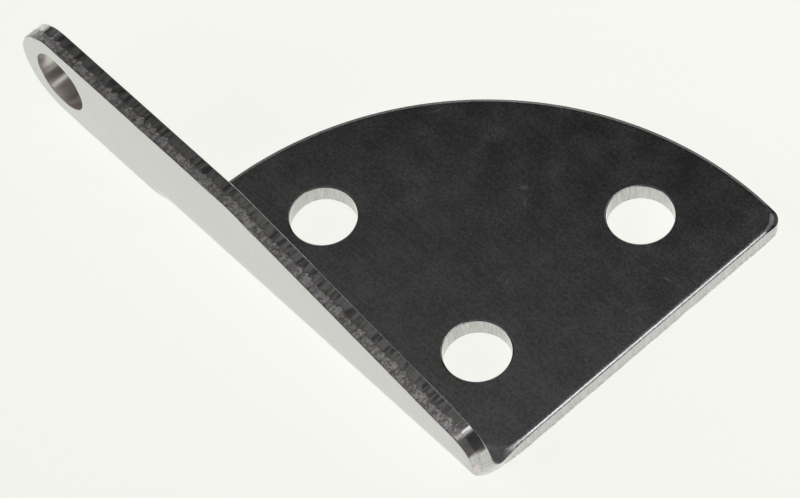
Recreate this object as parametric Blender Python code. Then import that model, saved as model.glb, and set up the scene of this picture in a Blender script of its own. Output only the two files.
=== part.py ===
"""Door hinge bracket: a flat blank of sheet steel with die-rolled edges, folded once through a right angle."""

import math

import bmesh
import bpy
from mathutils import Vector

MM = 0.001

# Sheet and fold. The plate lies on z = 0 and the flange's outer face stands at x = 0 before the final shift.
SHEET = 2.0 * MM
BEND_INNER = 1.2 * MM
NEUTRAL = 0.44
BEND_STRIPS = 18

# Plate: a quadrant outline with its own centre, a straight near edge on y = 0 and one rounded corner.
ARC_CENTRE_X = 4.1 * MM
ARC_CENTRE_Y = 4.53 * MM
ARC_RADIUS = 33.72 * MM
PLATE_CORNER = 1.4 * MM

# Three equal screw holes in an L, the first one measured from the flange's outer face and the near edge.
# The land is the metal between the outer hole and the big arc, and so sets how far apart the holes are.
HOLE_DIAMETER = 6.15 * MM
HOLE_FROM_FLANGE = 8.9 * MM
HOLE_FROM_EDGE = 9.18 * MM
HOLE_LAND = 5.413 * MM

# Flange: it rises from a rounded near end to the knee, then runs level into the arm with its full round end.
NEAR_HEIGHT = 5.62 * MM
NEAR_END_RADIUS = 3.2 * MM
KNEE_AT = 30.88 * MM
KNEE_HEIGHT = 11.2 * MM
KNEE_RADIUS = 14.0 * MM
ARM_REACH = 59.78 * MM
ARM_TOP = 11.4 * MM
ARM_LOWER = 1.7 * MM
ARM_FILLET = 3.5 * MM
PIVOT_DIAMETER = 6.25 * MM
PIVOT_FROM_END = 5.22 * MM

# Die roll on the punched side: broad along the plate, broadest at its corner, narrow on the arm and least in the holes.
ROLL_WIDTH = 0.50 * MM
ROLL_DEPTH = 0.27 * MM
ROLL_CORNER_WIDTH = 0.75 * MM
ROLL_CORNER_DEPTH = 0.38 * MM
ROLL_ARM_WIDTH = 0.26 * MM
ROLL_ARM_DEPTH = 0.16 * MM
ROLL_HOLE_WIDTH = 0.12 * MM
ROLL_HOLE_DEPTH = 0.08 * MM
ROLL_STEPS = 3

# Sideways flow of metal at the near end of the fold.
END_FLOW = 0.30 * MM
END_FLOW_REACH = 2.4 * MM

# Sizes that follow from those above.
BEND_OUTER = BEND_INNER + SHEET
FOLD_LENGTH = math.pi / 2 * (BEND_INNER + NEUTRAL * SHEET)
FLANGE_START = BEND_OUTER - FOLD_LENGTH
HOLE_REACH = ARC_RADIUS - HOLE_LAND - HOLE_DIAMETER / 2
OUTER_HOLE_X = ARC_CENTRE_X + math.sqrt(HOLE_REACH**2 - (HOLE_FROM_EDGE - ARC_CENTRE_Y) ** 2)
HOLE_SPACING = OUTER_HOLE_X - HOLE_FROM_FLANGE
ARM_END_RADIUS = (ARM_TOP - ARM_LOWER) / 2
ARM_END_Y = ARM_REACH - ARM_END_RADIUS
ARM_MIDDLE = (ARM_TOP + ARM_LOWER) / 2


def blank_u(z):
    """Position across the flat blank of a height z on the flange."""
    return FLANGE_START - (z - BEND_OUTER)


def arc(centre, radius, start, end, count):
    """Points on an arc, angles in degrees."""
    found = []
    for step in range(count + 1):
        angle = math.radians(start + (end - start) * step / count)
        found.append((centre[0] + radius * math.cos(angle), centre[1] + radius * math.sin(angle)))
    return found


def corner_arc(before, corner, after, radius, count):
    """Points that round the corner between two straight edges."""
    c = Vector(corner)
    one = (Vector(before) - c).normalized()
    two = (Vector(after) - c).normalized()
    half = one.angle(two) / 2
    centre = c + (one + two).normalized() * (radius / math.sin(half))
    first = c + one * (radius / math.tan(half)) - centre
    last = c + two * (radius / math.tan(half)) - centre
    start = math.degrees(math.atan2(first.y, first.x))
    end = math.degrees(math.atan2(last.y, last.x))
    turn = (end - start + 180) % 360 - 180
    return arc(centre, radius, start, start + turn, count)


def fillet_place():
    """Arm's lower edge in the blank, and the centre of the fillet between it and the big arc."""
    lower_u = blank_u(ARM_LOWER)
    fx = lower_u + ARM_FILLET
    fy = ARC_CENTRE_Y + math.sqrt((ARC_RADIUS + ARM_FILLET) ** 2 - (fx - ARC_CENTRE_X) ** 2)
    return lower_u, fx, fy


def blank_outline():
    """Outline of the flat blank, anticlockwise, as (u, v, roll width, roll depth)."""
    ax, ay = ARC_CENTRE_X, ARC_CENTRE_Y
    broad = (ROLL_WIDTH, ROLL_DEPTH)
    broadest = (ROLL_CORNER_WIDTH, ROLL_CORNER_DEPTH)
    narrow = (ROLL_ARM_WIDTH, ROLL_ARM_DEPTH)
    path = []

    # Rounded corner of the plate between the near edge and the big arc.
    inner = ARC_RADIUS - PLATE_CORNER
    cy = PLATE_CORNER
    cx = ax + math.sqrt(inner**2 - (cy - ay) ** 2)
    towards = math.degrees(math.atan2(cy - ay, cx - ax))
    path += [(*place, *broadest) for place in arc((cx, cy), PLATE_CORNER, -90, towards, 10)]

    # Big arc, up to the fillet that leads into the arm's lower edge.
    lower_u, fx, fy = fillet_place()
    meets = math.degrees(math.atan2(fy - ay, fx - ax))
    path += [(*place, *broad) for place in arc((ax, ay), ARC_RADIUS, towards, meets, 44)[1:]]
    path += [(*place, *narrow) for place in arc((fx, fy), ARM_FILLET, meets - 180, -180, 12)[1:]]

    # Lower edge of the arm and its round end, back along the top edge.
    end_centre = (blank_u(ARM_MIDDLE), ARM_END_Y)
    path += [(lower_u, fy + (ARM_END_Y - fy) * part, *narrow) for part in (0.25, 0.5, 0.75)]
    tilt = math.degrees(math.atan2(ARM_TOP - KNEE_HEIGHT, ARM_END_Y - KNEE_AT))
    path += [(*place, *narrow) for place in arc(end_centre, ARM_END_RADIUS, 0, 180 + tilt, 36)]

    # Knee in the top edge, the falling edge and the rounded near end.
    knee = (blank_u(KNEE_HEIGHT), KNEE_AT)
    corner = (blank_u(NEAR_HEIGHT), 0.0)
    slope = (knee[0] - corner[0]) / knee[1]
    path += [(*place, *narrow) for place in corner_arc(path[-1][:2], knee, corner, KNEE_RADIUS, 6)]
    below = (BEND_OUTER, 0.0)
    for part in (0.25, 0.5, 0.75):
        v = knee[1] * (1 - part)
        path.append((corner[0] + slope * v, v, *narrow))
    path += [(*place, *broad) for place in corner_arc(knee, corner, below, NEAR_END_RADIUS, 14)]
    path += [(BEND_OUTER + (cx - BEND_OUTER) * part, 0.0, *broad) for part in (0.25, 0.5, 0.75)]
    return path


def rolled(path, index):
    """Roll width and depth at one point, blended over its neighbours."""
    near = [path[(index + offset) % len(path)] for offset in range(-3, 4)]
    width = sum(point[2] for point in near) / len(near)
    depth = sum(point[3] for point in near) / len(near)
    return width, depth


def add_wall(bm, path):
    """Cut wall of one closed path with its die roll. Returns the lower and upper rings of edges."""
    count = len(path)
    rings = [[] for _ in range(ROLL_STEPS + 2)]
    for index in range(count):
        u, v = path[index][:2]
        u0, v0 = path[index - 1][:2]
        u1, v1 = path[(index + 1) % count][:2]
        first = Vector((u - u0, v - v0)).normalized()
        second = Vector((u1 - u, v1 - v)).normalized()
        along = (first + second).normalized()
        inward = Vector((-along.y, along.x))
        width, depth = rolled(path, index)
        rings[0].append(bm.verts.new((u, v, 0.0)))
        for step in range(ROLL_STEPS + 1):
            angle = math.pi / 2 * step / ROLL_STEPS
            inset = width * (1 - math.cos(angle))
            level = SHEET - depth * (1 - math.sin(angle))
            rings[step + 1].append(bm.verts.new((u + inward.x * inset, v + inward.y * inset, level)))
    for low, high in zip(rings, rings[1:]):
        for index in range(count):
            after = (index + 1) % count
            bm.faces.new((low[index], low[after], high[after], high[index]))
    lower = [bm.edges.get((rings[0][i], rings[0][(i + 1) % count])) for i in range(count)]
    upper = [bm.edges.get((rings[-1][i], rings[-1][(i + 1) % count])) for i in range(count)]
    return lower, upper


def circle_path(centre, radius, count):
    """Hole path, clockwise so that its inward side is the metal."""
    return [(*place, ROLL_HOLE_WIDTH, ROLL_HOLE_DEPTH) for place in arc(centre, radius, 360, 0, count)[:-1]]


def flat_blank():
    """Closed solid of the flat blank, lower face on w = 0."""
    bm = bmesh.new()
    near_u, near_v = HOLE_FROM_FLANGE, HOLE_FROM_EDGE
    holes = [
        circle_path((near_u, near_v), HOLE_DIAMETER / 2, 48),
        circle_path((near_u + HOLE_SPACING, near_v), HOLE_DIAMETER / 2, 48),
        circle_path((near_u, near_v + HOLE_SPACING), HOLE_DIAMETER / 2, 48),
        circle_path((blank_u(ARM_MIDDLE), ARM_REACH - PIVOT_FROM_END), PIVOT_DIAMETER / 2, 48),
    ]
    lower, upper = add_wall(bm, blank_outline())
    for path in holes:
        more_lower, more_upper = add_wall(bm, path)
        lower += more_lower
        upper += more_upper
    for ring in (lower, upper):
        bmesh.ops.triangle_fill(bm, use_beauty=True, use_dissolve=False, edges=ring)
    return bm


def split_along(bm, where, axis, within):
    """Cuts the faces near a line across the blank, so that the fold bends only along cut lines."""
    normal = Vector((1.0, 0.0, 0.0)) if axis == 0 else Vector((0.0, 1.0, 0.0))
    other = 1 - axis
    faces = []
    for face in bm.faces:
        spans = [vert.co[other] for vert in face.verts]
        if max(spans) > within[0] and min(spans) < within[1]:
            faces.append(face)
    edges = {edge for face in faces for edge in face.edges}
    verts = {vert for face in faces for vert in face.verts}
    geom = list(verts) + list(edges) + faces
    bmesh.ops.bisect_plane(bm, geom=geom, dist=1e-7, plane_co=normal * where, plane_no=normal)


def smooth_step(value, start, end):
    """0 before start, 1 after end, with level ends."""
    part = min(1.0, max(0.0, (value - start) / (end - start)))
    return part * part * (3 - 2 * part)


def unfold_span():
    """Stretch beside the fillet over which the fold fades out into the flat arm."""
    fy = fillet_place()[2]
    return fy - 0.7 * ARM_FILLET, fy + 0.35 * ARM_FILLET


def fold(point):
    """Where a point of the flat blank goes when the flange is folded up."""
    u, v, w = point
    bend = 1 - smooth_step(v, *unfold_span())
    neutral_w = SHEET * (1 - NEUTRAL)
    middle = (FLANGE_START + BEND_OUTER) / 2
    flow = math.exp(-(((u - middle) / END_FLOW_REACH) ** 2)) * math.exp(-v / END_FLOW_REACH)
    y = v - END_FLOW * (2 * w / SHEET - 1) * flow
    if u <= FLANGE_START:
        return Vector((w, y, BEND_OUTER + FLANGE_START - u))
    if u >= BEND_OUTER and bend > 0.999:
        return Vector((u, y, w))
    along = u - FLANGE_START
    curvature = bend * (math.pi / 2) / FOLD_LENGTH
    if curvature * along < 1e-6:
        return Vector((w, y, BEND_OUTER - along))
    folded = min(along, FOLD_LENGTH)
    angle = curvature * folded
    x = neutral_w + (1 - math.cos(angle)) / curvature + (w - neutral_w) * math.cos(angle)
    z = BEND_OUTER - math.sin(angle) / curvature + (w - neutral_w) * math.sin(angle)
    rest = along - folded
    return Vector((x + rest * math.sin(angle), y, z - rest * math.cos(angle)))


def clear_scene():
    for obj in list(bpy.data.objects):
        bpy.data.objects.remove(obj)


def build():
    clear_scene()
    bm = flat_blank()
    everywhere = (-1.0, 1.0)
    for step in range(BEND_STRIPS + 1):
        split_along(bm, FLANGE_START + FOLD_LENGTH * step / BEND_STRIPS, 0, everywhere)
    near_fold = (FLANGE_START - END_FLOW_REACH, BEND_OUTER + END_FLOW_REACH)
    for share in (0.2, 0.45, 0.8, 1.25, 2.1):
        split_along(bm, share * END_FLOW_REACH, 1, near_fold)
    for share in (0.45, 0.9):
        for u in (FLANGE_START - share * END_FLOW_REACH, BEND_OUTER + share * END_FLOW_REACH):
            split_along(bm, u, 0, (-1.0, 2.1 * END_FLOW_REACH))
    start, end = unfold_span()
    for step in range(8):
        split_along(bm, start + (end - start) * step / 7, 1, (FLANGE_START, fillet_place()[1] + MM))
    bmesh.ops.triangulate(bm, faces=bm.faces[:])
    bmesh.ops.remove_doubles(bm, verts=bm.verts[:], dist=1e-6)
    bmesh.ops.dissolve_degenerate(bm, dist=1e-6, edges=bm.edges[:])
    bmesh.ops.triangulate(bm, faces=bm.faces[:])

    origin = Vector((HOLE_FROM_FLANGE + HOLE_SPACING / 2, HOLE_FROM_EDGE + HOLE_SPACING / 2, 0.0))
    for vert in bm.verts:
        vert.co = fold(vert.co) - origin
    bmesh.ops.recalc_face_normals(bm, faces=bm.faces[:])

    mesh = bpy.data.meshes.new("hinge_bracket")
    for face in bm.faces:
        face.smooth = True
    for edge in bm.edges:
        if len(edge.link_faces) == 2 and edge.calc_face_angle() > math.radians(24):
            edge.smooth = False
    bm.to_mesh(mesh)
    bm.free()
    bracket = bpy.data.objects.new("hinge_bracket", mesh)
    bpy.context.scene.collection.objects.link(bracket)


build()
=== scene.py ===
"""Looks of the door hinge bracket: folded sheet steel with sheared edges, on a pale floor in soft light."""

import math
from collections import namedtuple

import bmesh
import bpy
from mathutils import Euler, Matrix, Vector, noise


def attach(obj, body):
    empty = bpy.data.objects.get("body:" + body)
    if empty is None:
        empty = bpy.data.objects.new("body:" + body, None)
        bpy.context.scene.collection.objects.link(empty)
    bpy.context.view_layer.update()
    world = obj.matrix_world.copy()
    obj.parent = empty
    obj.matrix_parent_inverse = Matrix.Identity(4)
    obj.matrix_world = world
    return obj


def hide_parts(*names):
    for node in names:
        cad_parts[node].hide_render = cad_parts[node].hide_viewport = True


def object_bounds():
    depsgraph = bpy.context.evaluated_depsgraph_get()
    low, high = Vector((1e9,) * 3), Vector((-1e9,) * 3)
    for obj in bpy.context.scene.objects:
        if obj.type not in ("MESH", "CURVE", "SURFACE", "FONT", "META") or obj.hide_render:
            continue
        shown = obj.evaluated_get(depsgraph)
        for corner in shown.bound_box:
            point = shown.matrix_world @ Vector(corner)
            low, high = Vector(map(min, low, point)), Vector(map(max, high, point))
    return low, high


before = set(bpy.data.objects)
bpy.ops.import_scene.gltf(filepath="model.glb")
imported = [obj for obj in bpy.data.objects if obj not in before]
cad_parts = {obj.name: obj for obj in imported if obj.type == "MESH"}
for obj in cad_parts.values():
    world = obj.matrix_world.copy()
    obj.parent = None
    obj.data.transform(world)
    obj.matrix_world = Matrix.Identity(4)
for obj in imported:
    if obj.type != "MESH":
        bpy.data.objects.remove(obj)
cad_low, cad_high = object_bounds()

MM = 0.001
NODE = "hinge_bracket"

# Places nearer to each other than the first are one place. The second is the same for a cut through faces.
TOUCH = 1e-7
CUT_TOUCH = 1e-8

# Sheet and fold.
SHEET = 2.0 * MM
BEND_INNER = 1.2 * MM
NEUTRAL = 0.44
BEND_STRIPS = 48

# Screw holes, and with them the place of the flat blank in the frame.
HOLE_SPACING = 20.0 * MM
HOLE_DIAMETER = 6.15 * MM
HOLE_FROM_EDGE = 9.18 * MM
HOLE_FROM_FLANGE = -cad_low.x - HOLE_SPACING / 2
ORIGIN = Vector((HOLE_FROM_FLANGE + HOLE_SPACING / 2, HOLE_FROM_EDGE + HOLE_SPACING / 2, 0.0))

# Plate outline.
ARC_CENTRE = (4.1 * MM, 4.53 * MM)
ARC_RADIUS = 33.68 * MM
PLATE_CORNER = 1.4 * MM

# Flange and arm.
NEAR_HEIGHT = 5.62 * MM
NEAR_END_RADIUS = 3.2 * MM
KNEE_AT = 30.88 * MM
KNEE_HEIGHT = 11.2 * MM
KNEE_RADIUS = 14.0 * MM
ARM_REACH = cad_high.y + ORIGIN.y
ARM_TOP = 11.4 * MM
ARM_LOWER = 1.7 * MM
ARM_FILLET = 3.5 * MM
PIVOT_DIAMETER = 6.25 * MM
PIVOT_FROM_END = 5.22 * MM

# Shape of each cut edge: width in millimetres and steepest angle in degrees of its die roll's gentle slope,
# radius at the slope's foot in millimetres, share of the wall that is torn, how far the torn part leans in at
# the burr in millimetres, how much duller than polished the smooth part is, and how lumpy the torn part is.
Edge = namedtuple("Edge", "slope steepest foot torn lean dull lumpy")
NEAR_EDGE = Edge(0.44, 20.5, 0.075, 0.28, 0.05, 0.0, 0.6)
NEAR_FOLD_EDGE = Edge(0.80, 21.0, 0.08, 0.30, 0.05, 0.0, 0.6)
FOLD_EDGE = Edge(0.12, 30.0, 0.08, 0.40, 0.0, 0.0, 0.2)
CORNER_EDGE = Edge(0.92, 30.0, 0.05, 0.28, 0.05, 0.0, 0.6)
ARC_EDGE = Edge(0.42, 24.0, 0.20, 0.40, 0.0, 0.0, 1.0)
FILLET_EDGE = Edge(0.12, 25.0, 0.10, 0.50, 0.0, 0.0, 1.0)
ARM_EDGE = Edge(0.18, 30.0, 0.12, 0.52, 0.0, 0.0, 1.0)
TIP_EDGE = Edge(0.18, 30.0, 0.12, 0.52, 0.0, 0.03, 0.2)
NEAR_END_EDGE = Edge(0.30, 30.0, 0.14, 0.48, 0.0, 0.0, 0.2)
HOLE_EDGE = Edge(0.16, 24.0, 0.06, 0.0, 0.0, 0.02, 0.0)
PIVOT_EDGE = Edge(0.07, 25.0, 0.06, 0.0, 0.0, 0.14, 0.0)

# How far the near edge swells outwards, and the stretch beside the fold where its roll is broad.
NEAR_SWELL = 0.09 * MM
BROAD_ROLL = 3.4 * MM

# Stretch before the rounded near end over which the torn part grows smooth, and how far round the arm's end,
# in degrees, it is smooth too.
CALM_RUN = 1.8 * MM
TIP_TURN = 128.0

# Steps of a cut section and along the wall, flat margin below the burr, and the stretch over which two shapes
# of edge blend.
SLOPE_STEPS = 4
FOOT_STEPS = 5
BURR_STEPS = 3
WALL_ROWS = 17
WALL_STEP = 0.17 * MM
FACE_MARGIN = 0.35 * MM
EDGE_BLEND = 0.6 * MM

# Burr: its least and most height, how much it grows with its noise, and the size of that noise.
BURR_LEAST = 0.05 * MM
BURR_MOST = 0.15 * MM
BURR_GROWTH = 0.25 * MM
BURR_PATCH = 2.2 * MM

# Clumps of the torn part: how far from the line between two of them the gap ends and is full, and where their
# rounded shoulder ends, as shares of a clump. Then how soft the torn part's upper border is, as a share of
# the wall, and how far below it the lumps reach their full height, as a share of the torn part.
GAP_ENDS = 0.10
GAP_FULL = 0.02
SHOULDER_ENDS = 0.4
BORDER_SOFT = 0.05
LUMPS_FULL = 0.3

# Flow of metal at the fold's near end, and the cuts round it as shares of its reach.
END_FLOW = 0.38 * MM
END_FLOW_REACH = 2.4 * MM
CUTS_ALONG = (0.1, 0.2, 0.32, 0.45, 0.62, 0.8, 1.0, 1.25, 1.6, 2.1)
CUTS_ACROSS = (0.22, 0.45, 0.67, 0.9)

# Stretch over which the fold fades out, before and after the fillet's centre as shares of the fillet's
# radius, its steps, and how far past that centre the cuts for them run.
UNFOLD_BEFORE = 0.7
UNFOLD_AFTER = 0.35
UNFOLD_STEPS = 18
UNFOLD_PAST = 1.0 * MM

# Sizes that follow from those above.
BEND_OUTER = BEND_INNER + SHEET
FOLD_LENGTH = math.pi / 2 * (BEND_INNER + NEUTRAL * SHEET)
FOLD_START = BEND_OUTER - FOLD_LENGTH
ARM_END_RADIUS = (ARM_TOP - ARM_LOWER) / 2
ARM_END_Y = ARM_REACH - ARM_END_RADIUS
ARM_MIDDLE = (ARM_TOP + ARM_LOWER) / 2

# Camera solved from the photograph, which is 800 by 498 pixels.
CAMERA_AT = Vector((-107.54, -130.52, 254.63)) * MM
CAMERA_TURN = (33.184, 3.805, -42.718)
CAMERA_LENS = 153.57

# Strip light close above the near edge, lengthwise along it.
STRIP_AT = Vector((30.0, -31.5, 90.0)) * MM
STRIP_SIZE = (0.060, 0.025)
STRIP_LEVEL = 1.4
STRIP_TONE = (0.97, 0.95, 1.0)

# Fill light above the floor, and a softbox to the left, placed by azimuth and elevation in degrees.
FILL_AT = Vector((0.0, 0.0, 0.9))
FILL_SIZE = (0.5, 0.5)
FILL_LEVEL = 0.9
FILL_TONE = (1.0, 0.98, 0.96)
LEFT_WAY = (-65, 28)
LEFT_AWAY = 0.6
LEFT_SIZE = (0.34, 0.34)
LEFT_LEVEL = 1.2
LEFT_TONE = (1.0, 1.0, 1.0)

# Room: its brightness against the height of a direction, which is 0 for level and 1 for straight up.
ROOM = (
    (0.0, 0.58),
    (0.04, 0.38),
    (0.10, 0.11),
    (0.20, 0.04),
    (0.80, 0.012),
    (0.84, 0.044),
    (0.88, 0.088),
    (1.0, 0.10),
)

# Soft glows in the room: azimuth, elevation, inner and outer angle in degrees, and brightness. They fade out
# towards the horizon between two heights of a direction.
GLOWS = (
    (30, 26, 8, 18, 0.20),
    (54, 25, 8, 17, 0.25),
    (82, 51, 5, 14, 0.25),
    (104, 28, 6, 22, 0.06),
    (14, 56, 4, 18, 0.028),
)
GLOW_FADE = (0.16, 0.44)

# Floor: its colour, its glow to the left and right and where each is reached, half its width, and how far it
# lies below the bracket.
FLOOR_TONE = (0.880, 0.896, 0.840)
FLOOR_GLOW = (0.885, 0.945)
FLOOR_SPAN = (-70.0 * MM, 70.0 * MM)
FLOOR_HALF = 2.0
FLOOR_DROP = 0.03 * MM

# Finish of the sheet: how far the worn patch lies off the fold, outer and inner radius of that patch and of
# the painted shade on the fold's near end, pitch of the hair lines, size of the patch's dents, and depth of
# relief.
WORN_OFF_FOLD = 0.9 * MM
WORN_RADII = (2.6 * MM, 1.0 * MM)
FOLD_SHADE_RADII = (3.2 * MM, 1.4 * MM)
HAIR_PITCH = 0.25 * MM
DENT_SIZE = 0.32 * MM
SHEET_RELIEF = 0.004 * MM

# Finish of the cut walls: pitch of the fine lines and the broad bars, level where the painted shade line
# above the burr ends and where it is full, and depth of relief.
LINE_PITCH = 0.12 * MM
BAR_PITCH = 0.40 * MM
BURR_LINE = (0.17 * MM, 0.04 * MM)
WALL_RELIEF = 0.012 * MM

# Colours of the steel. A pair runs from dark to light.
SHEET_TONES = ((0.49, 0.495, 0.49), (0.75, 0.74, 0.74))
BURNISHED_TONES = ((0.30, 0.295, 0.30), (0.78, 0.77, 0.75))
TORN_TONES = ((0.36, 0.335, 0.31), (1.0, 0.96, 0.92))
BORED_TONE = (0.74, 0.69, 0.655)
LILAC_TONE = (0.77, 0.745, 0.84)
# Painted shade on the fold's near end.
FOLD_SHADE_TONE = (0.12, 0.12, 0.12)
# Painted shade for the dark lines on the cut walls.
WALL_SHADE_TONE = (0.12, 0.115, 0.115)


class Nodes:
    """Adds nodes to one tree, so that a formula reads as a line of calls."""

    def __init__(self, tree):
        self.tree = tree

    def feed(self, socket, value):
        """Links a socket to another node's output, or sets it to a plain value."""
        if isinstance(value, bpy.types.NodeSocket):
            self.tree.links.new(value, socket)
        elif value is not None:
            socket.default_value = value

    def put(self, kind, feeds=None, **settings):
        """New node with its settings, and with its inputs fed by name or number."""
        node = self.tree.nodes.new(kind)
        for name, value in settings.items():
            setattr(node, name, value)
        for key, value in (feeds or {}).items():
            self.feed(node.inputs[key], value)
        return node

    def math(self, operation, *values):
        """Output of a node that does one sum with numbers."""
        node = self.put("ShaderNodeMath", operation=operation)
        for socket, value in zip(node.inputs, values):
            self.feed(socket, value)
        return node.outputs[0]

    def vector(self, operation, *values):
        """Output of a node that does one sum with vectors."""
        node = self.put("ShaderNodeVectorMath", operation=operation)
        for socket, value in zip(node.inputs, values):
            self.feed(socket, value)
        return node.outputs["Vector"]

    def ease(self, value, start, end, low=0.0, high=1.0):
        """Smooth step from low at start to high at end."""
        feeds = {"Value": value, "From Min": start, "From Max": end, "To Min": low, "To Max": high}
        return self.put("ShaderNodeMapRange", feeds, interpolation_type="SMOOTHSTEP").outputs["Result"]

    def noise(self, place, size, detail=2.0, seed=0.0):
        """Soft noise from 0 to 1 whose blobs are about size across."""
        scale = self.math("DIVIDE", 1.0, size)
        feeds = {"Vector": place, "W": seed, "Scale": scale, "Detail": detail}
        return self.put("ShaderNodeTexNoise", feeds, noise_dimensions="4D").outputs[0]

    def stored(self, name, kind):
        """Value stored on the mesh, for a geometry tree."""
        return self.put("GeometryNodeInputNamedAttribute", {"Name": name}, data_type=kind).outputs[0]

    def attribute(self, name, output="Fac"):
        """Value stored on the mesh, for a material."""
        return self.put("ShaderNodeAttribute", attribute_name=name).outputs[output]

    def scaled(self, vector, factor):
        """Vector multiplied by a number."""
        feeds = {0: vector, "Scale": factor}
        return self.put("ShaderNodeVectorMath", feeds, operation="SCALE").outputs[0]

    def distance(self, place, other):
        """Distance between two places."""
        return self.put("ShaderNodeVectorMath", {0: place, 1: other}, operation="DISTANCE").outputs["Value"]

    def parts(self, vector):
        """The three numbers of a vector."""
        return self.put("ShaderNodeSeparateXYZ", {"Vector": vector}).outputs


def blank_u(z):
    """Position across the flat blank of a height z on the flange."""
    return FOLD_START - (z - BEND_OUTER)


def line(start, end, edge, last_edge=None):
    """Points along a straight edge, its end left out, as (u, v, shape of the cut edge).

    The shape changes evenly to that of last_edge, where one is given.
    """
    count = max(1, round(math.dist(start, end) / WALL_STEP))
    found = []
    for i in range(count):
        shape = [first + (last - first) * i / count for first, last in zip(edge, last_edge or edge)]
        found.append((*Vector(start).lerp(Vector(end), i / count), shape))
    return found


def arc(centre, radius, start, end, edge):
    """Points along an arc in degrees, its end left out, as (u, v, shape of the cut edge)."""
    count = max(3, round(radius * math.radians(abs(end - start)) / WALL_STEP))
    found = []
    for i in range(count):
        angle = math.radians(start + (end - start) * i / count)
        found.append((centre[0] + radius * math.cos(angle), centre[1] + radius * math.sin(angle), edge))
    return found


def corner(before, at, after, radius):
    """Arc that rounds a corner: its centre, start and end in degrees, and its first and last point."""
    at = Vector(at)
    one = (Vector(before) - at).normalized()
    two = (Vector(after) - at).normalized()
    half = one.angle(two) / 2
    centre = at + (one + two).normalized() * (radius / math.sin(half))
    first = at + one * (radius / math.tan(half))
    last = at + two * (radius / math.tan(half))
    start = math.degrees(math.atan2(*reversed(first - centre)))
    end = math.degrees(math.atan2(*reversed(last - centre)))
    return centre, start, start + (end - start + 180) % 360 - 180, first, last


def fillet_place():
    """Arm's lower edge in the blank, and the centre of the fillet between it and the big arc."""
    arc_u, arc_v = ARC_CENTRE
    lower_u = blank_u(ARM_LOWER)
    fillet_u = lower_u + ARM_FILLET
    fillet_v = arc_v + math.sqrt((ARC_RADIUS + ARM_FILLET) ** 2 - (fillet_u - arc_u) ** 2)
    return lower_u, fillet_u, fillet_v


def blank_outline():
    """Outline of the flat blank, anticlockwise from the plate's rounded corner."""
    arc_u, arc_v = ARC_CENTRE
    corner_u = arc_u + math.sqrt((ARC_RADIUS - PLATE_CORNER) ** 2 - (PLATE_CORNER - arc_v) ** 2)
    corner_turn = math.degrees(math.atan2(PLATE_CORNER - arc_v, corner_u - arc_u))
    lower_u, fillet_u, fillet_v = fillet_place()
    fillet_turn = math.degrees(math.atan2(fillet_v - arc_v, fillet_u - arc_u))
    path = arc((corner_u, PLATE_CORNER - NEAR_SWELL), PLATE_CORNER, -90, corner_turn, CORNER_EDGE)
    path += arc(ARC_CENTRE, ARC_RADIUS, corner_turn, fillet_turn, ARC_EDGE)
    path += arc((fillet_u, fillet_v), ARM_FILLET, fillet_turn - 180, -180, FILLET_EDGE)
    path += line((lower_u, fillet_v), (lower_u, ARM_END_Y), ARM_EDGE)

    end_u = blank_u(ARM_MIDDLE)
    tilt = math.degrees(math.atan2(ARM_TOP - KNEE_HEIGHT, ARM_END_Y - KNEE_AT))
    path += arc((end_u, ARM_END_Y), ARM_END_RADIUS, 0, TIP_TURN, TIP_EDGE)
    path += arc((end_u, ARM_END_Y), ARM_END_RADIUS, TIP_TURN, 180 + tilt, ARM_EDGE)
    turn = math.radians(180 + tilt)
    leaves = (end_u + ARM_END_RADIUS * math.cos(turn), ARM_END_Y + ARM_END_RADIUS * math.sin(turn))

    knee_at = (blank_u(KNEE_HEIGHT), KNEE_AT)
    near_at = (blank_u(NEAR_HEIGHT), 0.0)
    knee, start, end, first, last = corner(leaves, knee_at, near_at, KNEE_RADIUS)
    path += line(leaves, first, ARM_EDGE) + arc(knee, KNEE_RADIUS, start, end, ARM_EDGE)
    round_end, start, end, first, after = corner(knee_at, near_at, (BEND_OUTER, 0.0), NEAR_END_RADIUS)
    calmer = first + (Vector(last) - Vector(first)).normalized() * CALM_RUN
    path += line(last, calmer, ARM_EDGE) + line(calmer, first, ARM_EDGE, NEAR_END_EDGE)
    path += arc(round_end, NEAR_END_RADIUS, start, end, NEAR_END_EDGE)
    past_fold = (BEND_OUTER, -NEAR_SWELL)
    along = (BEND_OUTER + BROAD_ROLL, -NEAR_SWELL)
    path += line(after, past_fold, FOLD_EDGE) + line(past_fold, along, NEAR_FOLD_EDGE, NEAR_EDGE)
    return path + line(along, (corner_u, -NEAR_SWELL), NEAR_EDGE)


def hole(u, v, diameter, edge):
    """Hole path, clockwise so that the metal lies on its left."""
    return arc((u, v), diameter / 2, 360, 0, edge)


def blended(path, place):
    """Shape of the cut edge at one place, averaged over a stretch of the path to both sides."""
    reach = round(EDGE_BLEND / WALL_STEP)
    near = [path[(place + offset) % len(path)][2] for offset in range(-reach, reach + 1)]
    return Edge(*(sum(values) / len(near) for values in zip(*near)))


def rolled_profile(slope_width, steepest, foot):
    """Die roll from the wall up to the flat face, as (inset, drop, tilt as a share of a right angle)."""
    last = math.radians(steepest)
    radius = slope_width / math.sin(last)
    found = []
    for step in range(FOOT_STEPS):
        tilt = math.pi / 2 + (last - math.pi / 2) * step / FOOT_STEPS
        inset = foot * (1 - math.sin(tilt))
        found.append((inset, radius * (1 - math.cos(last)) + foot * (math.cos(last) - math.cos(tilt)), tilt))
    for step in range(SLOPE_STEPS + 1):
        tilt = last * (1 - step / SLOPE_STEPS)
        inset = foot * (1 - math.sin(last)) + radius * (math.sin(last) - math.sin(tilt))
        found.append((inset, radius * (1 - math.cos(tilt)), tilt))
    return [(inset, drop, tilt / (math.pi / 2)) for inset, drop, tilt in found]


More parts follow.
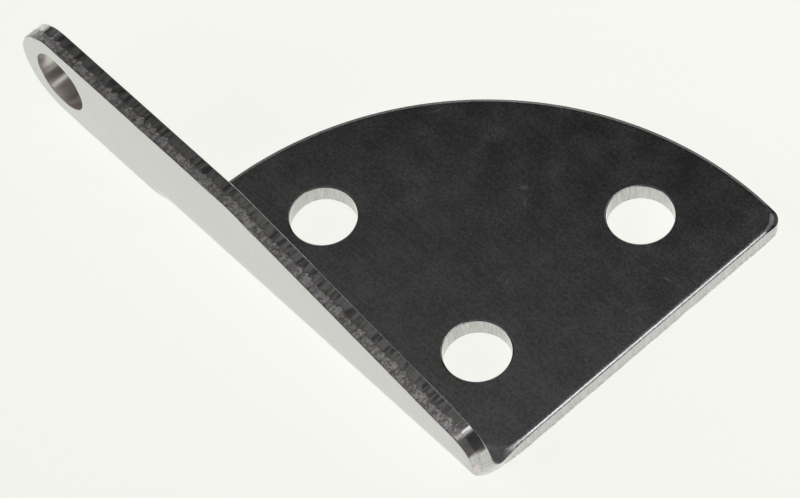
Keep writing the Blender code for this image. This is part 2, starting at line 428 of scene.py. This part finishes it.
def section(edge, burr):
    """Cut section from burr side to rolled side, as (inset, level, share of the shear marks, roll)."""
    lean = edge.lean * MM
    found = [(FACE_MARGIN + lean, 0.0, 0.0, 0.0)]
    for step in range(BURR_STEPS):
        angle = math.pi / 2 * step / BURR_STEPS
        found.append((lean + burr * (1 - math.sin(angle)), burr * (1 - math.cos(angle)), 1.0, 0.0))
    roll = rolled_profile(edge.slope * MM, edge.steepest, edge.foot * MM)
    torn_height = max(edge.torn * SHEET, burr + WALL_STEP)
    for row in range(WALL_ROWS):
        level = burr + (SHEET - roll[0][1] - burr) * row / WALL_ROWS
        below = max(0.0, (torn_height - level) / (torn_height - burr))
        found.append((lean * below, level, 1.0, 0.0))
    # The shear marks fade out up the die roll.
    return found + [(inset, SHEET - drop, share**3, share) for inset, drop, share in roll]


def add_wall(bm, path):
    """Sheared wall of one closed path. Returns its lowest and highest rings of edges."""
    outward_layer = bm.verts.layers.float_vector["outward"]
    layers = [bm.verts.layers.float[name] for name in ("roll", "torn", "dull", "lumpy")]
    cut_layer = bm.faces.layers.bool["cut_wall"]
    columns = []
    for i in range(len(path)):
        u, v, _ = path[i]
        before, after = path[i - 1], path[(i + 1) % len(path)]
        along = Vector((after[0] - before[0], after[1] - before[1])).normalized()
        outward = Vector((along.y, -along.x, 0.0))
        ragged = max(0.0, noise.noise(Vector((u, v, 0.0)) / BURR_PATCH))
        burr = min(BURR_MOST, BURR_LEAST + BURR_GROWTH * ragged)
        edge = blended(path, i)
        column = []
        for inset, level, share, roll in section(edge, burr):
            vert = bm.verts.new(Vector((u, v, level)) - outward * inset)
            vert[outward_layer] = outward * share
            for layer, value in zip(layers, (roll, edge.torn, edge.dull, edge.lumpy)):
                vert[layer] = value
            column.append(vert)
        columns.append(column)
    pairs = list(zip(columns, columns[1:] + columns[:1]))
    for left, right in pairs:
        for row in range(len(left) - 1):
            face = bm.faces.new((left[row], right[row], right[row + 1], left[row + 1]))
            face[cut_layer] = 0 < row <= BURR_STEPS + WALL_ROWS
    lowest = [bm.edges.get((left[0], right[0])) for left, right in pairs]
    highest = [bm.edges.get((left[-1], right[-1])) for left, right in pairs]
    return lowest, highest


def split_along(bm, where, axis, within):
    """Cuts the faces along a line of equal u (axis 0) or v (axis 1), within a stretch of the other.

    The fold then bends only along cut lines.
    """
    normal = Vector((1.0, 0.0, 0.0)) if axis == 0 else Vector((0.0, 1.0, 0.0))
    other = 1 - axis
    faces = []
    for face in bm.faces:
        spans = [vert.co[other] for vert in face.verts]
        if max(spans) > within[0] and min(spans) < within[1]:
            faces.append(face)
    edges = {edge for face in faces for edge in face.edges}
    verts = {vert for face in faces for vert in face.verts}
    geom = list(verts) + list(edges) + faces
    bmesh.ops.bisect_plane(bm, geom=geom, dist=CUT_TOUCH, plane_co=normal * where, plane_no=normal)


def unfold_span():
    """Stretch beside the fillet over which the fold fades out into the flat arm."""
    _, _, fillet_v = fillet_place()
    return fillet_v - UNFOLD_BEFORE * ARM_FILLET, fillet_v + UNFOLD_AFTER * ARM_FILLET


def flat_blank():
    """Mesh of the flat blank with its sheared walls, cut along the lines where it will bend."""
    bm = bmesh.new()
    bm.verts.layers.float_vector.new("outward")
    for name in ("roll", "torn", "dull", "lumpy"):
        bm.verts.layers.float.new(name)
    bm.faces.layers.bool.new("cut_wall")
    near_u, near_v = HOLE_FROM_FLANGE, HOLE_FROM_EDGE
    paths = [
        blank_outline(),
        hole(near_u, near_v, HOLE_DIAMETER, HOLE_EDGE),
        hole(near_u + HOLE_SPACING, near_v, HOLE_DIAMETER, HOLE_EDGE),
        hole(near_u, near_v + HOLE_SPACING, HOLE_DIAMETER, HOLE_EDGE),
        hole(blank_u(ARM_MIDDLE), ARM_REACH - PIVOT_FROM_END, PIVOT_DIAMETER, PIVOT_EDGE),
    ]
    lower, upper = [], []
    for path in paths:
        low_ring, high_ring = add_wall(bm, path)
        lower += low_ring
        upper += high_ring
    for ring in (lower, upper):
        bmesh.ops.triangle_fill(bm, use_beauty=True, use_dissolve=False, edges=ring)

    whole_blank = (-1.0, 1.0)
    for step in range(BEND_STRIPS + 1):
        split_along(bm, FOLD_START + FOLD_LENGTH * step / BEND_STRIPS, 0, whole_blank)
    near_fold = (FOLD_START - END_FLOW_REACH, BEND_OUTER + END_FLOW_REACH)
    for share in CUTS_ALONG:
        split_along(bm, share * END_FLOW_REACH, 1, near_fold)
    near_end = (whole_blank[0], CUTS_ALONG[-1] * END_FLOW_REACH)
    for share in CUTS_ACROSS:
        for u in (FOLD_START - share * END_FLOW_REACH, BEND_OUTER + share * END_FLOW_REACH):
            split_along(bm, u, 0, near_end)
    start, end = unfold_span()
    _, fillet_u, _ = fillet_place()
    beside_fillet = (FOLD_START, fillet_u + UNFOLD_PAST)
    for step in range(UNFOLD_STEPS + 1):
        split_along(bm, start + (end - start) * step / UNFOLD_STEPS, 1, beside_fillet)

    bmesh.ops.triangulate(bm, faces=[face for face in bm.faces if len(face.verts) > 4])
    bmesh.ops.recalc_face_normals(bm, faces=bm.faces[:])
    for face in bm.faces:
        face.smooth = True
    mesh = bpy.data.meshes.new("flat_blank")
    bm.to_mesh(mesh)
    bm.free()
    return mesh


def shear_marks(n, sizes, place, torn, lumpy):
    """Marks of the shear on a cut wall: how far a point is torn, is in a gap, and lies outwards."""
    _, _, level = n.parts(place)
    flat = n.vector("MULTIPLY", place, (1.0, 1.0, 0.0))
    rise = n.math("DIVIDE", level, sizes["Sheet"])
    clump = {"Vector": flat, "Scale": n.math("DIVIDE", 1.0, sizes["Clump size"])}
    reach = n.put("ShaderNodeTexVoronoi", clump, feature="DISTANCE_TO_EDGE").outputs["Distance"]
    gap = n.ease(reach, GAP_ENDS, GAP_FULL)
    scallop = n.math("SUBTRACT", n.ease(reach, 0.0, SHOULDER_ENDS), 0.5)
    wave = n.math("SUBTRACT", n.noise(flat, sizes["Clump size"], seed=sizes["Seed"]), 0.5)
    border = n.math("MULTIPLY_ADD", n.math("ADD", scallop, wave), sizes["Border wave"], 1.0)
    border = n.math("MULTIPLY", border, torn)
    fracture = n.ease(rise, n.math("ADD", border, BORDER_SOFT), n.math("SUBTRACT", border, BORDER_SOFT))
    drop = n.math("DIVIDE", n.math("SUBTRACT", border, rise), n.math("MAXIMUM", border, 0.1))
    lump = n.math("SUBTRACT", n.noise(place, sizes["Lump size"], detail=3.0, seed=sizes["Seed"]), 0.5)
    recess = n.math("MULTIPLY", lump, sizes["Lump depth"])
    recess = n.math("SUBTRACT", recess, n.math("MULTIPLY", scallop, sizes["Clump depth"]))
    recess = n.math("MULTIPLY", n.math("MULTIPLY", recess, lumpy), n.ease(drop, 0.0, LUMPS_FULL, 0.25, 1.0))
    recess = n.math("MULTIPLY_ADD", drop, sizes["Recess"], recess)
    line_up = n.math("SUBTRACT", n.noise(flat, sizes["Line pitch"], detail=1.0, seed=sizes["Seed"]), 0.5)
    out = n.math("MULTIPLY", line_up, sizes["Line depth"])
    return fracture, gap, n.math("SUBTRACT", out, n.math("MULTIPLY", fracture, recess))


def folded(n, sizes, place):
    """Where each point of the flat blank goes when the flange is folded up about the neutral line."""
    u, v, w = n.parts(place)
    sheet = sizes["Sheet"]
    right_angle = math.pi / 2
    radius = n.math("MULTIPLY_ADD", sizes["Neutral share"], sheet, sizes["Inner radius"])
    length = n.math("MULTIPLY", radius, right_angle)
    outer = n.math("ADD", sizes["Inner radius"], sheet)
    start = n.math("SUBTRACT", outer, length)
    bend = n.ease(v, sizes["Unfold from"], sizes["Unfold to"], 1.0, 0.0)
    # The curvature is kept off zero because the flat arm's place is divided by it.
    curvature = n.math("MAXIMUM", n.math("DIVIDE", bend, radius), 0.01)
    along = n.math("SUBTRACT", u, start)
    bent = n.math("MINIMUM", n.math("MAXIMUM", along, 0.0), length)
    rest = n.math("SUBTRACT", along, bent)
    angle = n.math("MULTIPLY", curvature, bent)
    sine, cosine = n.math("SINE", angle), n.math("COSINE", angle)
    neutral_w = n.math("MULTIPLY", sheet, n.math("SUBTRACT", 1.0, sizes["Neutral share"]))
    off = n.math("SUBTRACT", w, neutral_w)

    x = n.math("DIVIDE", n.math("SUBTRACT", 1.0, cosine), curvature)
    x = n.math("ADD", x, neutral_w)
    x = n.math("MULTIPLY_ADD", off, cosine, x)
    x = n.math("MULTIPLY_ADD", rest, sine, x)
    z = n.math("SUBTRACT", outer, n.math("DIVIDE", sine, curvature))
    z = n.math("MULTIPLY_ADD", off, sine, z)
    z = n.math("SUBTRACT", z, n.math("MULTIPLY", rest, cosine))

    middle = n.math("MULTIPLY", n.math("ADD", start, outer), 0.5)
    across = n.math("DIVIDE", n.math("SUBTRACT", u, middle), sizes["Flow reach"])
    fade = n.math("MULTIPLY_ADD", across, across, n.math("DIVIDE", v, sizes["Flow reach"]))
    flow = n.math("MULTIPLY", n.math("EXPONENT", n.math("MULTIPLY", fade, -1.0)), sizes["End flow"])
    side = n.math("MULTIPLY_ADD", n.math("DIVIDE", w, sheet), 2.0, -1.0)
    y = n.math("SUBTRACT", v, n.math("MULTIPLY", flow, side))
    return n.put("ShaderNodeCombineXYZ", {0: x, 1: y, 2: z}).outputs[0]


def press_tree(sizes, sheet_material, wall_material):
    """Geometry tree that marks the sheared walls, folds the blank and gives it its materials."""
    tree = bpy.data.node_groups.new("press_and_fold", "GeometryNodeTree")
    tree.interface.new_socket("Geometry", in_out="INPUT", socket_type="NodeSocketGeometry")
    for name, value in sizes.items():
        tree.interface.new_socket(name, in_out="INPUT", socket_type="NodeSocketFloat").default_value = value
    tree.interface.new_socket("Geometry", in_out="OUTPUT", socket_type="NodeSocketGeometry")
    n = Nodes(tree)
    given = n.put("NodeGroupInput").outputs
    place = n.put("GeometryNodeInputPosition").outputs[0]
    outward = n.stored("outward", "FLOAT_VECTOR")
    cut = n.stored("cut_wall", "BOOLEAN")
    uncut = n.put("FunctionNodeBooleanMath", {0: cut}, operation="NOT").outputs[0]
    fracture, gap, out = shear_marks(n, given, place, n.stored("torn", "FLOAT"), n.stored("lumpy", "FLOAT"))

    marked = given["Geometry"]
    marks = (("blank", place, "FLOAT_VECTOR"), ("fracture", fracture, "FLOAT"), ("gap", gap, "FLOAT"))
    for name, value, kind in marks:
        feeds = {"Geometry": marked, "Name": name, "Value": value}
        store = n.put("GeometryNodeStoreNamedAttribute", feeds, data_type=kind, domain="POINT")
        marked = store.outputs[0]
    offset = n.scaled(outward, out)
    sheared = n.put("GeometryNodeSetPosition", {"Geometry": marked, "Offset": offset}).outputs[0]
    moved = n.vector("SUBTRACT", folded(n, given, place), tuple(ORIGIN))
    bent = n.put("GeometryNodeSetPosition", {"Geometry": sheared, "Position": moved}).outputs[0]
    whole = n.put("GeometryNodeRealizeInstances", {"Geometry": bent}).outputs[0]
    faces = {"Geometry": whole, "Selection": uncut, "Material": sheet_material}
    dressed = n.put("GeometryNodeSetMaterial", faces).outputs[0]
    walls = {"Geometry": dressed, "Selection": cut, "Material": wall_material}
    dressed = n.put("GeometryNodeSetMaterial", walls).outputs[0]
    n.feed(n.put("NodeGroupOutput").inputs[0], dressed)
    return tree


def level_normals(mesh):
    """Smooth normals, but exactly square ones at every point of the flat faces."""
    normals = []
    for vert, flat in zip(mesh.vertices, mesh.attributes["blank"].data):
        u, v, w = flat.vector
        side = 1.0 if w > SHEET - TOUCH else -1.0
        square = vert.normal.copy()
        if w < TOUCH or w > SHEET - TOUCH:
            if u < FOLD_START + TOUCH:
                square = Vector((side, 0.0, 0.0))
            elif u > BEND_OUTER - TOUCH and v < unfold_span()[0]:
                square = Vector((0.0, 0.0, side))
        normals.append(square)
    mesh.normals_split_custom_set_from_vertices(normals)


def press_bracket(sheet_material, wall_material):
    """Bracket as one plain mesh object, folded by the geometry tree."""
    start, end = unfold_span()
    sizes = {
        "Sheet": SHEET,
        "Inner radius": BEND_INNER,
        "Neutral share": NEUTRAL,
        "Unfold from": start,
        "Unfold to": end,
        "End flow": END_FLOW,
        "Flow reach": END_FLOW_REACH,
        "Border wave": 0.30,
        "Recess": 0.03 * MM,
        "Clump size": 0.62 * MM,
        "Clump depth": 0.02 * MM,
        "Lump size": 0.3 * MM,
        "Lump depth": 0.065 * MM,
        "Line pitch": 0.4 * MM,
        "Line depth": 0.012 * MM,
        "Seed": 3.0,
    }
    blank = bpy.data.objects.new("flat_blank", flat_blank())
    bpy.context.scene.collection.objects.link(blank)
    tree = press_tree(sizes, sheet_material, wall_material)
    press = blank.modifiers.new("press", "NODES")
    press.node_group = tree
    for item in tree.interface.items_tree:
        if item.in_out == "INPUT" and item.name in sizes:
            press[item.identifier] = sizes[item.name]
    graph = bpy.context.evaluated_depsgraph_get()
    pressed = blank.evaluated_get(graph)
    mesh = bpy.data.meshes.new_from_object(pressed, preserve_all_data_layers=True, depsgraph=graph)
    bpy.data.objects.remove(blank)
    level_normals(mesh)
    mesh.name = "bracket_steel"
    bracket = bpy.data.objects.new("bracket_steel", mesh)
    bpy.context.scene.collection.objects.link(bracket)
    return bracket


def new_group(name, inputs, outputs):
    """Empty shader node group with named float or vector sockets, and its two end nodes."""
    tree = bpy.data.node_groups.new(name, "ShaderNodeTree")
    kinds = {"vector": "NodeSocketVector", "float": "NodeSocketFloat"}
    for label, kind, value in inputs:
        socket = tree.interface.new_socket(label, in_out="INPUT", socket_type=kinds[kind])
        if value is not None:
            socket.default_value = value
    for label in outputs:
        tree.interface.new_socket(label, in_out="OUTPUT", socket_type="NodeSocketFloat")
    n = Nodes(tree)
    return tree, n, n.put("NodeGroupInput").outputs, n.put("NodeGroupOutput").inputs


def mottle_group():
    """Mottle of sheet metal: a fine grain and broad patches, both from 0 to 1."""
    inputs = [("Place", "vector", None), ("Grain", "float", 0.2 * MM), ("Patch", "float", 6.0 * MM)]
    tree, n, given, put_out = new_group("mottle", inputs, ("Grain", "Patch"))
    n.feed(put_out["Grain"], n.noise(given["Place"], given["Grain"], seed=1.0))
    n.feed(put_out["Patch"], n.noise(given["Place"], given["Patch"], detail=3.0, seed=2.0))
    return tree


def speck_group():
    """Rare round specks and short hairline scratches: 1 inside one, 0 elsewhere."""
    inputs = [
        ("Place", "vector", None),
        ("Spacing", "float", 2.0 * MM),
        ("Radius", "float", 0.06),
        ("Share", "float", 0.3),
        ("Scratch bend", "float", 5.0 * MM),
        ("Scratch length", "float", 1.1 * MM),
    ]
    tree, n, given, put_out = new_group("specks", inputs, ("Speck", "Scratch"))
    # A scratch follows a line where one noise has its middle value, within the rare peaks of another.
    bends = n.noise(given["Place"], given["Scratch bend"], detail=0.0, seed=11.0)
    off_line = n.math("ABSOLUTE", n.math("SUBTRACT", bends, 0.5))
    peaks = n.noise(given["Place"], given["Scratch length"], detail=0.0, seed=12.0)
    patch = n.ease(peaks, 0.64, 0.70)
    n.feed(put_out["Scratch"], n.math("MULTIPLY", n.ease(off_line, 0.005, 0.0), patch))
    feeds = {"Vector": given["Place"], "Scale": n.math("DIVIDE", 1.0, given["Spacing"])}
    cells = n.put("ShaderNodeTexVoronoi", feeds).outputs
    pick = n.put("ShaderNodeSeparateColor", {"Color": cells["Color"]}).outputs[0]
    size = n.math("MULTIPLY", given["Radius"], n.ease(pick, given["Share"], 0.0))
    inside = n.ease(cells["Distance"], size, n.math("MULTIPLY", size, 0.5))
    n.feed(put_out["Speck"], n.math("MULTIPLY", inside, n.math("LESS_THAN", pick, given["Share"])))
    return tree


def metal(name):
    """New material with a bare metallic shader. Returns the material, its node helper and its shader."""
    material = bpy.data.materials.new(name)
    material.use_nodes = True
    n = Nodes(material.node_tree)
    shader = material.node_tree.nodes["Principled BSDF"]
    shader.inputs["Metallic"].default_value = 1.0
    return material, n, shader


def use_group(n, tree, feeds):
    """Outputs of a shader node group whose sockets are fed by name."""
    node = n.put("ShaderNodeGroup", node_tree=tree)
    for name, value in feeds.items():
        n.feed(node.inputs[name], value)
    return node.outputs


def mixed(n, factor, first, second):
    """Colour between two others."""
    node = n.put("ShaderNodeMix", {"Factor": factor}, data_type="RGBA")
    for name, value in (("A", first), ("B", second)):
        socket = next(one for one in node.inputs if one.name == name and one.type == "RGBA")
        n.feed(socket, value if isinstance(value, bpy.types.NodeSocket) else (*value, 1.0))
    return next(one for one in node.outputs if one.type == "RGBA")


def centred(n, value, reach):
    """A value from 0 to 1 turned into one round 0, as far as reach to both sides."""
    return n.math("MULTIPLY", n.math("SUBTRACT", value, 0.5), 2.0 * reach)


def polished_sheet(mottle, specks):
    """Bright rolled and polished faces of the sheet."""
    material, n, shader = metal("polished_sheet")
    place = n.attribute("blank", "Vector")
    roll = n.attribute("roll")
    _, _, level = n.parts(place)
    marks = use_group(n, mottle, {"Place": place, "Grain": 0.26 * MM, "Patch": 7.0 * MM})
    flaws = use_group(n, specks, {"Place": place, "Spacing": 2.2 * MM, "Radius": 0.06, "Share": 0.45})
    speck = n.math("MULTIPLY_ADD", flaws["Scratch"], 0.6, flaws["Speck"])
    worn_at = (BEND_OUTER + WORN_OFF_FOLD, -NEAR_SWELL, SHEET)
    worn = n.math("MULTIPLY", n.ease(n.distance(place, worn_at), *WORN_RADII), n.ease(roll, 0.0, 0.1))
    dents = n.noise(place, DENT_SIZE, detail=3.0, seed=13.0)
    # Patch on the fold's near end, painted darker as shade and made rougher.
    fold_shade_at = ((FOLD_START + BEND_OUTER) / 2, 0.0, SHEET)
    fold_shade_patch = n.ease(n.distance(place, fold_shade_at), *FOLD_SHADE_RADII)
    hairs = n.noise(n.vector("MULTIPLY", place, (1.0, 0.04, 1.0)), HAIR_PITCH, seed=5.0)
    haze = use_group(n, mottle, {"Place": place, "Grain": 0.15 * MM, "Patch": 2.6 * MM})

    # Roughness.
    rough = n.math("ADD", centred(n, marks["Patch"], 0.10), centred(n, haze["Grain"], 0.14))
    rough = n.math("ADD", n.math("ADD", rough, centred(n, haze["Patch"], 0.10)), 0.16)
    rough = n.math("MULTIPLY_ADD", worn, 0.14, n.math("MULTIPLY_ADD", fold_shade_patch, 0.5, rough))
    rough = n.math("MULTIPLY", rough, n.ease(roll, 0.0, 0.12, 1.0, 0.95))
    rough = n.math("MAXIMUM", n.math("MULTIPLY_ADD", speck, 0.3, rough), 0.05)
    n.feed(shader.inputs["Roughness"], rough)

    # Tone, with fainter marks and a slightly darker base on the underside and the flange's outer face.
    marked = n.ease(level, 0.0, SHEET, 0.15, 1.0)
    tone = n.math("ADD", centred(n, marks["Grain"], 1.4), centred(n, hairs, 0.7))
    tone = n.math("ADD", n.math("ADD", tone, centred(n, haze["Grain"], 0.9)), centred(n, haze["Patch"], 0.7))
    tone = n.math("MULTIPLY", n.math("MULTIPLY_ADD", speck, 0.6, tone), marked)
    tone = n.math("ADD", tone, n.ease(level, 0.0, SHEET, 0.42, 0.5))
    bare = mixed(n, tone, *SHEET_TONES)
    # Painted shade darkens the fold's near end.
    n.feed(shader.inputs["Base Color"], mixed(n, n.math("MULTIPLY", fold_shade_patch, 0.25), bare, FOLD_SHADE_TONE))

    # Relief, deeper on the die roll and in the worn patch.
    height = n.math("MULTIPLY_ADD", hairs, 0.3, marks["Grain"])
    height = n.math("MULTIPLY", height, n.math("MULTIPLY_ADD", roll, 9.0, 1.0))
    height = n.math("MULTIPLY_ADD", n.math("MULTIPLY", worn, dents), 14.0, height)
    bump = n.put("ShaderNodeBump", {"Strength": 0.5, "Distance": SHEET_RELIEF, "Height": height})
    n.feed(shader.inputs["Normal"], bump.outputs["Normal"])
    return material


def sheared_edge(mottle):
    """Cut walls: a striated burnished band above a torn, lumpy fracture band."""
    material, n, shader = metal("sheared_edge")
    place = n.attribute("blank", "Vector")
    _, _, level = n.parts(place)
    fracture = n.attribute("fracture")
    gap = n.attribute("gap")
    dull = n.attribute("dull")
    lumpy = n.attribute("lumpy")
    marks = use_group(n, mottle, {"Place": place, "Grain": 0.30 * MM, "Patch": 0.7 * MM})
    crumbs = use_group(n, mottle, {"Place": place, "Grain": 0.16 * MM, "Patch": 0.45 * MM})
    lines = n.noise(n.vector("MULTIPLY", place, (1.0, 1.0, 0.08)), LINE_PITCH, detail=1.0, seed=7.0)
    bars = n.noise(n.vector("MULTIPLY", place, (1.0, 1.0, 0.2)), BAR_PITCH, detail=1.0, seed=9.0)

    # Burnished part, with bars above a lumpy torn part, and evenly dull where the pivot pin has run.
    barred = n.math("MULTIPLY", centred(n, bars, 1.0), n.ease(lumpy, 0.6, 1.0, 0.15, 2.6))
    scored = n.math("ADD", centred(n, lines, 0.4), barred)
    scored = n.math("ADD", scored, 0.62)
    burnished = mixed(n, scored, *BURNISHED_TONES)
    bored = n.ease(dull, 0.04, 0.10)
    burnished = mixed(n, bored, burnished, BORED_TONE)

    # Torn part, mottled where it is lumpy.
    crumbled = n.math("ADD", centred(n, marks["Grain"], 2.0), centred(n, crumbs["Grain"], 1.6))
    contrast = n.ease(lumpy, 0.0, 0.9, 0.1, 1.0)
    lightness = n.ease(lumpy, 0.0, 1.0, 0.7, 0.6)
    crumbled = n.math("MULTIPLY_ADD", crumbled, contrast, lightness)
    mottled = mixed(n, crumbled, *TORN_TONES)
    lilac = n.ease(marks["Patch"], 0.48, 0.66, 0.0, 0.8)
    torn = mixed(n, lilac, mottled, LILAC_TONE)

    # Painted shade: dark lines along the torn part's border, in its gaps and above the burr.
    tone = mixed(n, fracture, burnished, torn)
    border = n.math("MULTIPLY", n.math("MULTIPLY", fracture, n.math("SUBTRACT", 1.0, fracture)), 3.2)
    dark = n.math("MAXIMUM", border, n.math("MULTIPLY", n.math("MULTIPLY", gap, fracture), 0.7))
    dark = n.math("MULTIPLY", dark, n.ease(lumpy, 0.0, 0.6, 0.3, 1.0))
    burr_line = n.math("MULTIPLY", n.ease(level, *BURR_LINE), n.ease(fracture, 0.2, 0.6))
    dark = n.math("MAXIMUM", dark, n.math("MULTIPLY", burr_line, lumpy))
    n.feed(shader.inputs["Base Color"], mixed(n, n.math("MULTIPLY", dark, 0.7), tone, WALL_SHADE_TONE))

    # Roughness and relief.
    coarse = n.math("MULTIPLY", fracture, lumpy)
    matt = n.math("MULTIPLY", fracture, n.ease(lumpy, 0.0, 0.4, 0.3, 1.0))
    rough = n.math("MULTIPLY_ADD", coarse, 0.10, n.math("MULTIPLY_ADD", matt, 0.10, 0.12))
    rough = n.math("ADD", rough, dull)
    rough = n.math("ADD", rough, n.math("MULTIPLY", centred(n, marks["Patch"], 0.16), fracture))
    n.feed(shader.inputs["Roughness"], rough)
    n.feed(shader.inputs["Metallic"], n.math("MULTIPLY_ADD", matt, -0.41, 0.83))
    lumps = n.math("ADD", centred(n, crumbs["Grain"], 1.6), centred(n, marks["Grain"], 2.3))
    lumps = n.math("MULTIPLY", lumps, coarse)
    flat_lines = n.math("MULTIPLY_ADD", lines, 0.35, n.math("MULTIPLY", bars, 1.6))
    height = n.math("MULTIPLY_ADD", flat_lines, n.math("SUBTRACT", 1.0, bored), lumps)
    bump = n.put("ShaderNodeBump", {"Strength": 1.0, "Distance": WALL_RELIEF, "Height": height})
    n.feed(shader.inputs["Normal"], bump.outputs["Normal"])
    return material


def towards(azimuth, elevation):
    """Unit vector. Azimuth is measured from +Y towards +X, in degrees."""
    a, e = math.radians(azimuth), math.radians(elevation)
    return Vector((math.sin(a) * math.cos(e), math.cos(a) * math.cos(e), math.sin(e)))


def softbox(name, place, back, size, level, colour):
    """Flat light at a place, its back turned one way, with the brightness that a mirror would show."""
    data = bpy.data.lights.new(name, "AREA")
    data.shape = "RECTANGLE"
    data.size, data.size_y = size
    data.energy = level * math.pi * size[0] * size[1]
    data.color = colour
    lamp = bpy.data.objects.new(name, data)
    lamp.location = place
    lamp.rotation_euler = back.to_track_quat("Z", "Y").to_euler()
    bpy.context.scene.collection.objects.link(lamp)
    return lamp


def glow(n, way, azimuth, elevation, inner, outer, level):
    """Soft white glow in the studio, full inside one angle and gone outside the other."""
    aim = tuple(towards(azimuth, elevation))
    facing = n.put("ShaderNodeVectorMath", {0: way, 1: aim}, operation="DOT_PRODUCT").outputs["Value"]
    amount = n.ease(facing, math.cos(math.radians(outer)), math.cos(math.radians(inner)), 0.0, level)
    return n.scaled((1.0, 1.0, 1.0), amount)


def studio():
    """Dim room with a pale horizon, soft glows beyond the bracket, and softboxes."""
    world = bpy.data.worlds.new("studio")
    world.use_nodes = True
    bpy.context.scene.world = world
    n = Nodes(world.node_tree)
    way = n.put("ShaderNodeTexCoord").outputs["Generated"]
    _, _, rise = n.parts(way)
    ramp = n.put("ShaderNodeValToRGB", {"Fac": rise})
    bands = ramp.color_ramp.elements
    while len(bands) < len(ROOM):
        bands.new(0.5)
    for band, (at, level) in zip(bands, ROOM):
        band.position = at
        band.color = (level, level, level * 0.99, 1.0)
    glows = (0.0, 0.0, 0.0)
    for place in GLOWS:
        glows = n.vector("ADD", glows, glow(n, way, *place))
    faded = n.scaled(glows, n.ease(rise, *GLOW_FADE))
    background = world.node_tree.nodes["Background"]
    n.feed(background.inputs["Color"], n.vector("ADD", ramp.outputs["Color"], faded))

    up = Vector((0.0, 0.0, 1.0))
    strip = softbox("strip", STRIP_AT, up, STRIP_SIZE, STRIP_LEVEL, STRIP_TONE)
    strip.visible_diffuse = False
    fill = softbox("fill", FILL_AT, up, FILL_SIZE, FILL_LEVEL, FILL_TONE)
    fill.visible_glossy = False
    left = towards(*LEFT_WAY)
    softbox("left_softbox", left * LEFT_AWAY, left, LEFT_SIZE, LEFT_LEVEL, LEFT_TONE)


def floor():
    """Pale floor that glows a little, as a light table does."""
    bm = bmesh.new()
    bmesh.ops.create_grid(bm, x_segments=1, y_segments=1, size=FLOOR_HALF)
    mesh = bpy.data.meshes.new("floor")
    bm.to_mesh(mesh)
    bm.free()
    mesh.transform(Matrix.Translation((0.0, 0.0, -FLOOR_DROP)))
    material = bpy.data.materials.new("pale_floor")
    material.use_nodes = True
    shader = material.node_tree.nodes["Principled BSDF"]
    shader.inputs["Base Color"].default_value = (0.5, 0.5, 0.5, 1.0)
    shader.inputs["Roughness"].default_value = 0.9
    shader.inputs["Specular IOR Level"].default_value = 0.0
    shader.inputs["Emission Color"].default_value = (*FLOOR_TONE, 1.0)
    n = Nodes(material.node_tree)
    across, _, _ = n.parts(n.put("ShaderNodeTexCoord").outputs["Object"])
    n.feed(shader.inputs["Emission Strength"], n.ease(across, *FLOOR_SPAN, *FLOOR_GLOW))
    mesh.materials.append(material)
    plane = bpy.data.objects.new("floor", mesh)
    bpy.context.scene.collection.objects.link(plane)


def camera():
    """Camera that looks as the photograph's did."""
    data = bpy.data.cameras.new("camera")
    data.lens = CAMERA_LENS
    data.sensor_fit = "HORIZONTAL"
    data.clip_start, data.clip_end = 0.01, 10.0
    view = bpy.data.objects.new("camera", data)
    view.location = CAMERA_AT
    view.rotation_euler = Euler([math.radians(angle) for angle in CAMERA_TURN])
    bpy.context.scene.collection.objects.link(view)
    bpy.context.scene.camera = view


camera()
studio()
floor()
mottle = mottle_group()
bracket = press_bracket(polished_sheet(mottle, speck_group()), sheared_edge(mottle))
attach(bracket, "root")
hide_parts(NODE)
bpy.context.scene.view_settings.view_transform = "Standard"

bpy.context.view_layer.update()
